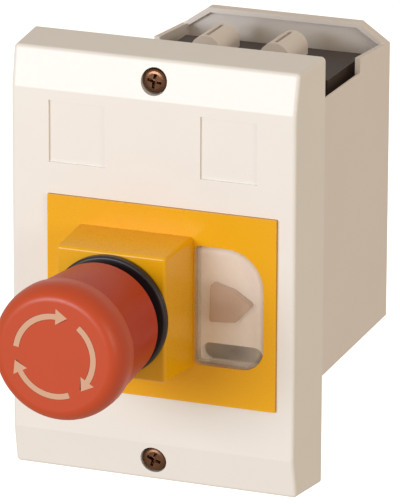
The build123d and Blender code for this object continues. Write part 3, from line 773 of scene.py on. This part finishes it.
def arrow_ring_tree(material):
    """Geometry Nodes: one curved arrow drawn along an arc, repeated round the head's axis."""
    names = ("Radius", "Stroke", "Head Width", "Span", "Head Span", "Tail", "Depth")
    tree, start, end = new_tree(
        "release_arrow_ring", [(title, "NodeSocketFloat") for title in names] + [("Count", "NodeSocketInt")]
    )
    value = start.outputs
    backwards = add(tree, "ShaderNodeMath", {"operation": "MULTIPLY"}, {0: value["Span"], 1: -1.0}).outputs[0]
    arc = add(
        tree,
        "GeometryNodeCurveArc",
        None,
        {"Resolution": 40, "Radius": value["Radius"], "Start Angle": value["Tail"], "Sweep Angle": backwards},
    ).outputs["Curve"]
    bar = add(
        tree,
        "GeometryNodeCurvePrimitiveQuadrilateral",
        None,
        {"Width": value["Stroke"], "Height": value["Depth"]},
    )
    stroke = add(
        tree, "GeometryNodeCurveToMesh", None, {
            "Curve": arc, "Profile Curve": bar.outputs[0], "Fill Caps": True
        }
    ).outputs[0]
    neck = add(
        tree, "ShaderNodeMath", {"operation": "SUBTRACT"}, {0: value["Tail"], 1: value["Span"]}
    ).outputs[0]
    part = add(
        tree, "ShaderNodeMath", {"operation": "MULTIPLY"}, {0: value["Head Span"], 1: value["Radius"]}
    ).outputs[0]
    head = add(
        tree,
        "GeometryNodeMeshCone",
        None,
        {
            "Vertices": 3,
            "Side Segments": 1,
            "Fill Segments": 1,
            "Radius Top": 1.0,
            "Radius Bottom": 1.0,
            "Depth": 1.0,
        },
    ).outputs["Mesh"]
    # The prism's point is on +X at 1 and its base at -0.5.
    long_way = add(tree, "ShaderNodeMath", {"operation": "DIVIDE"}, {0: part, 1: PRISM_LENGTH}).outputs[0]
    wide_way = add(
        tree, "ShaderNodeMath", {"operation": "DIVIDE"}, {0: value["Head Width"], 1: PRISM_WIDTH}
    ).outputs[0]
    scale = add(tree, "ShaderNodeCombineXYZ", None, {0: long_way, 1: wide_way, 2: value["Depth"]}).outputs[0]
    half_back = add(tree, "ShaderNodeMath", {"operation": "MULTIPLY"}, {0: long_way, 1: 0.5}).outputs[0]
    deep_down = add(
        tree, "ShaderNodeMath", {"operation": "MULTIPLY"}, {0: value["Depth"], 1: -0.5}
    ).outputs[0]
    shift = add(tree, "ShaderNodeCombineXYZ", None, {0: half_back, 2: deep_down}).outputs[0]
    sized = add(
        tree, "GeometryNodeTransform", None, {"Geometry": head, "Translation": shift, "Scale": scale}
    ).outputs[0]
    quarter = add(tree, "ShaderNodeCombineXYZ", None, {2: math.radians(-90)}).outputs[0]
    out = add(tree, "ShaderNodeCombineXYZ", None, {0: value["Radius"]}).outputs[0]
    aimed = add(
        tree, "GeometryNodeTransform", None, {"Geometry": sized, "Translation": out, "Rotation": quarter}
    ).outputs[0]
    lean = add(tree, "ShaderNodeCombineXYZ", None, {2: neck}).outputs[0]
    turned = add(tree, "GeometryNodeTransform", None, {"Geometry": aimed, "Rotation": lean}).outputs[0]
    both = tree.nodes.new("GeometryNodeJoinGeometry")
    tree.links.new(stroke, both.inputs[0])
    tree.links.new(turned, both.inputs[0])
    middle = add(tree, "GeometryNodePoints", None, {"Count": value["Count"]}).outputs[0]
    index = add(tree, "GeometryNodeInputIndex").outputs[0]
    share = add(tree, "ShaderNodeMath", {"operation": "DIVIDE"}, {0: index, 1: value["Count"]}).outputs[0]
    angle = add(tree, "ShaderNodeMath", {"operation": "MULTIPLY"}, {0: share, 1: -2 * math.pi}).outputs[0]
    spin = add(tree, "ShaderNodeCombineXYZ", None, {2: angle}).outputs[0]
    ring = add(
        tree, "GeometryNodeInstanceOnPoints", None, {
            "Points": middle, "Instance": both.outputs[0], "Rotation": spin
        }
    ).outputs[0]
    real = add(tree, "GeometryNodeRealizeInstances", None, {0: ring}).outputs[0]
    done = add(tree, "GeometryNodeSetMaterial", None, {"Geometry": real, "Material": material}).outputs[0]
    tree.links.new(done, end.inputs[0])
    return tree


class OBJECT_OT_make_arrows(bpy.types.Operator):
    """Make the release arrows inlaid in the cap, all from one arrow"""

    bl_idname = "enclosure.make_arrows"
    bl_label = "Make release arrows"

    def execute(self, context):
        look = context.scene.head_finish
        low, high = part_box("cap_arrows")
        centre = frame_centre("mushroom_cap")
        depth = high[1] - low[1]
        # Second-shot polyamide inlay: pale, matt, level with the cap.
        inlay = moulded("polyamide_inlay", look.arrow, 0.5, 1.53, 0.4 * MM, 0.003 * MM, 0.1, 0.05)
        values = {
            "Radius": look.arrow_radius,
            "Stroke": look.stroke,
            "Head Width": look.head_width,
            "Span": math.radians(ARROW_SPAN),
            "Head Span": math.radians(ARROW_HEAD_SPAN),
            "Tail": math.radians(ARROW_TAIL),
            "Depth": depth,
            "Count": look.count,
        }
        mesh = grown("release_arrows", arrow_ring_tree(inlay), values, inlay)
        # The tree draws in its own X and Y; the cap's face looks along -Y, a hair proud of it.
        front = low[1] - ARROW_PROUD + depth / 2
        stand = Matrix.Translation((centre[0], front, centre[2])) @ Matrix.Rotation(math.radians(90), 4, "X")
        mesh.transform(stand)
        work = bmesh.new()
        work.from_mesh(mesh)
        middle = sum((v.co.y for v in work.verts), 0.0) / len(work.verts)
        bmesh.ops.translate(work, vec=(0, front - middle, 0), verts=work.verts)
        for v in work.verts:
            v.co.y = low[1] - ARROW_PROUD if v.co.y < front else high[1]
        bmesh.ops.remove_doubles(work, verts=work.verts, dist=1e-6)
        bmesh.ops.recalc_face_normals(work, faces=work.faces)
        work.to_mesh(mesh)
        work.free()
        mesh.shade_flat()
        piece_from("release_arrows", mesh, "stop_head", "arrow_plastic", "cap_arrows")
        return {"FINISHED"}


def frame_centre(node):
    """The middle of a CAD node's box."""
    low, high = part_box(node)
    return [(a + b) / 2 for a, b in zip(low, high)]


def soft_box(name, place, size, power, colour):
    """A rectangular area lamp that looks at the object."""
    data = bpy.data.lights.new(name, "AREA")
    data.shape = "RECTANGLE"
    data.size, data.size_y = size
    data.energy = power
    data.color = colour
    item = bpy.data.objects.new(name, data)
    item.location = place
    item.rotation_euler = (-Vector(place)).to_track_quat("-Z", "Y").to_euler()
    bpy.context.scene.collection.objects.link(item)


class OBJECT_OT_build_studio(bpy.types.Operator):
    """Build the pale floor, the soft light and the camera"""

    bl_idname = "enclosure.build_studio"
    bl_label = "Build studio"

    def execute(self, context):
        scene = context.scene
        studio = scene.studio_setup
        scene.view_settings.view_transform = "Standard"
        self.make_floor(scene)
        self.make_backdrop(scene)
        world = bpy.data.worlds.new("studio")
        world.use_nodes = True
        world.node_tree.nodes.clear()
        glow = add(
            world.node_tree,
            "ShaderNodeBackground",
            None,
            {"Color": (1.0, 0.86, 0.71, 1.0), "Strength": studio.ambient},
        )
        add(world.node_tree, "ShaderNodeOutputWorld", None, {"Surface": glow.outputs["Background"]})
        scene.world = world
        soft_box("key", (-0.5, -1.45, 0.3), (0.8, 0.5), studio.key_power, (0.86, 0.91, 1.0))
        soft_box("fill", (1.3, -0.7, 0.35), (0.6, 0.6), FILL_SHARE * studio.key_power, (1.0, 0.9, 0.78))
        data = bpy.data.cameras.new("camera")
        data.sensor_width = 36.0
        data.lens = studio.lens
        data.clip_start = 0.01
        data.clip_end = 30.0
        camera = bpy.data.objects.new("camera", data)
        scene.collection.objects.link(camera)
        a, e = studio.azimuth, studio.elevation
        back = Vector((math.sin(a) * math.cos(e), -math.cos(a) * math.cos(e), math.sin(e)))
        camera.location = CAMERA_TARGET + back * studio.distance
        turn = (-back).to_track_quat("-Z", "Y").to_matrix() @ Matrix.Rotation(studio.roll, 3, "Z")
        camera.rotation_euler = turn.to_euler()
        scene.camera = camera
        return {"FINISHED"}

    def make_floor(self, scene):
        """White paper far below; it shows white but sends no coloured light back onto the object."""
        reach = 8.0
        height = CAD_BOX[0][2] - FLOOR_DROP
        corners = [
            (x, y, height) for x, y in ((-reach, -reach), (reach, -reach), (reach, reach), (-reach, reach))
        ]
        mesh = bpy.data.meshes.new("floor")
        mesh.from_pydata(corners, [], [(0, 1, 2, 3)])
        material, tree = blank("paper_white")
        place = add(tree, "ShaderNodeTexCoord").outputs["Object"]
        fibre = add(
            tree, "ShaderNodeTexNoise", None, {"Vector": place, "Scale": per_metre(2 * MM)}
        ).outputs["Fac"]
        tone = add(
            tree,
            "ShaderNodeMix",
            {"data_type": "RGBA"},
            {0: fibre, 6: shade(linear("F4F2F0"), 1.0), 7: shade(linear("FBFAF8"), 1.0)},
        ).outputs[2]
        paper = add(
            tree,
            "ShaderNodeBsdfPrincipled",
            None,
            {"Base Color": tone, "Roughness": 0.9, "Emission Color": (1, 1, 1, 1), "Emission Strength": 0.75},
        ).outputs["BSDF"]
        add(tree, "ShaderNodeOutputMaterial", None, {"Surface": paper})
        mesh.materials.append(material)
        floor = bpy.data.objects.new("floor", mesh)
        scene.collection.objects.link(floor)
        floor.visible_diffuse = False
        floor.visible_glossy = False

    def make_backdrop(self, scene):
        """A white wall far behind, which gives the upward faces their pale sheen."""
        far, half = 5.0, 5.0
        low = CAD_BOX[0][2] - FLOOR_DROP
        corners = [(-half, far, low), (half, far, low), (half, far, low + half), (-half, far, low + half)]
        mesh = bpy.data.meshes.new("backdrop")
        mesh.from_pydata(corners, [], [(0, 1, 2, 3)])
        material, tree = blank("wall_white")
        wall = add(
            tree, "ShaderNodeEmission", None, {"Color": (1.0, 0.97, 0.93, 1.0), "Strength": 0.6}
        ).outputs[0]
        add(tree, "ShaderNodeOutputMaterial", None, {"Surface": wall})
        mesh.materials.append(material)
        wall_item = bpy.data.objects.new("backdrop", mesh)
        scene.collection.objects.link(wall_item)
        wall_item.visible_diffuse = False


OPERATORS = (
    OBJECT_OT_finish_housing,
    OBJECT_OT_finish_head,
    OBJECT_OT_finish_hardware,
    OBJECT_OT_make_window,
    OBJECT_OT_make_cover_screws,
    OBJECT_OT_make_arrows,
    OBJECT_OT_build_studio,
)


class VIEW3D_PT_enclosure(bpy.types.Panel):
    """Lists the enclosure's finishing steps and their settings"""

    bl_label = "Enclosure"
    bl_idname = "VIEW3D_PT_enclosure"
    bl_space_type = "VIEW_3D"
    bl_region_type = "UI"
    bl_category = "Enclosure"

    def draw(self, context):
        for settings in SETTINGS:
            group = getattr(context.scene, settings)
            for key in group.__annotations__:
                self.layout.prop(group, key)
        for operator in OPERATORS:
            self.layout.operator(operator.bl_idname)


SETTINGS = {
    "housing_finish": HousingFinish,
    "head_finish": HeadFinish,
    "window_shape": WindowShape,
    "screw_shape": ScrewShape,
    "studio_setup": StudioSetup,
}


def register():
    for name, group in SETTINGS.items():
        bpy.utils.register_class(group)
        setattr(bpy.types.Scene, name, PointerProperty(type=group))
    for operator in OPERATORS:
        bpy.utils.register_class(operator)
    bpy.utils.register_class(VIEW3D_PT_enclosure)


def unregister():
    bpy.utils.unregister_class(VIEW3D_PT_enclosure)
    for operator in reversed(OPERATORS):
        bpy.utils.unregister_class(operator)
    for name, group in SETTINGS.items():
        delattr(bpy.types.Scene, name)
        bpy.utils.unregister_class(group)


def main():
    register()
    bpy.ops.enclosure.finish_housing()
    bpy.ops.enclosure.finish_head()
    bpy.ops.enclosure.finish_hardware()
    bpy.ops.enclosure.make_window()
    bpy.ops.enclosure.make_cover_screws()
    bpy.ops.enclosure.make_arrows()
    bpy.ops.enclosure.build_studio()


if __name__ == "__main__":
    main()
